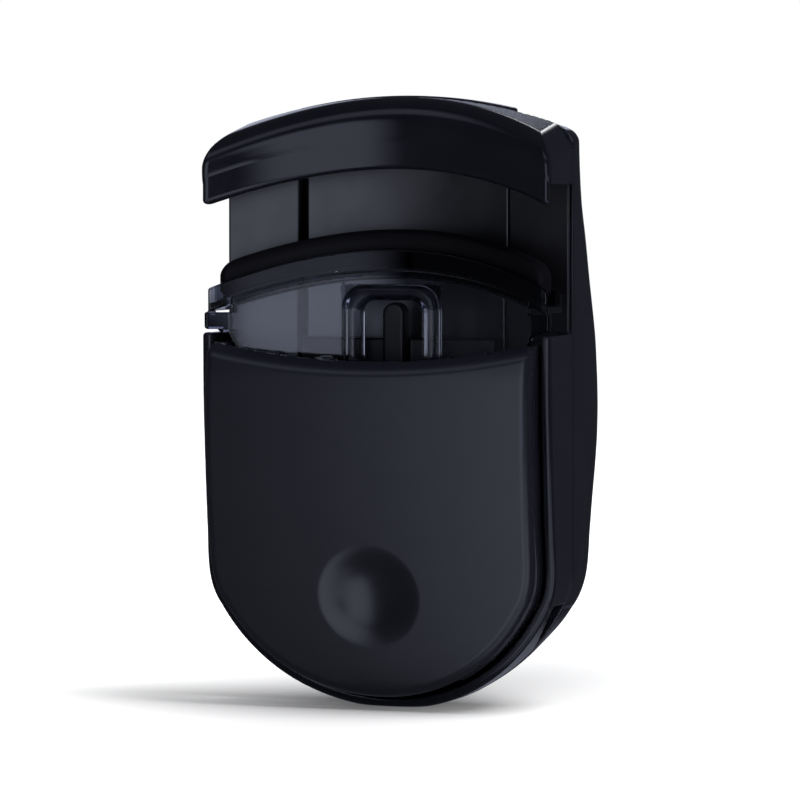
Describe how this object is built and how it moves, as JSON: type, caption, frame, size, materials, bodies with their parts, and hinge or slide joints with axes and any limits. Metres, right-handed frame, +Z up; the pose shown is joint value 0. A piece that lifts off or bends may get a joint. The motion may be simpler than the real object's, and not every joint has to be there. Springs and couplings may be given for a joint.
{
  "type": "compact eyelash curler",
  "caption": "Compact press-lever eyelash curler: clear carrier lifts a curved silicone pad against a curved fixed jaw in a rounded gloss body.",
  "frame": {"origin": "middle of the bounding box's underside, on the small flat under the rounded end", "axes": "+Z up the body towards the jaws, -Y the lever side that faces the user, +X to the user's right"},
  "size_m": [0.0368, 0.0208, 0.0612],
  "materials": {
    "gloss_shell": "polished black moulding",
    "matte_lever": "soft-touch matte black",
    "slider_plastic": "satin black moulding",
    "clear_plastic": "clear moulded plastic",
    "silicone": "matte black silicone",
    "steel": "bright spring steel"
  },
  "bodies": {
    "body": {"front_frame": "gloss_shell", "upper_jaw_bar": "gloss_shell", "back_cover": "gloss_shell", "hinge_pin_right": "steel", "hinge_pin_left": "steel", "guide_rod_left": "steel", "guide_rod_right": "steel", "rod_clip_left": "steel", "rod_clip_right": "steel", "return_spring_left": "steel", "return_spring_right": "steel", "cover_screw_1": "steel", "cover_screw_2": "steel", "cover_screw_3": "steel", "cover_screw_4": "steel"},
    "lever": {"lever_face": "matte_lever", "lever_frame": "gloss_shell"},
    "carrier": {"lift_slider": "slider_plastic", "pad_carrier": "clear_plastic", "lash_pad": "silicone"}
  },
  "joints": [
    {"name": "lever_press", "type": "hinge", "parent": "body", "child": "lever", "pos_m": [0, -0.00368, 0.032], "axis": [1, 0, 0], "range_deg": [0, 10]},
    {"name": "carrier_lift", "type": "slide", "parent": "body", "child": "carrier", "axis": [0, 0, 1], "range_m": [0, 0.0057], "stiffness_N_per_m": 250, "springref_m": -0.002, "deforming": ["return_spring_left", "return_spring_right"]}
  ],
  "couplings": [
    {"joint": "lever_press", "follows": "carrier_lift", "rad_per_m": 30.62}
  ]
}
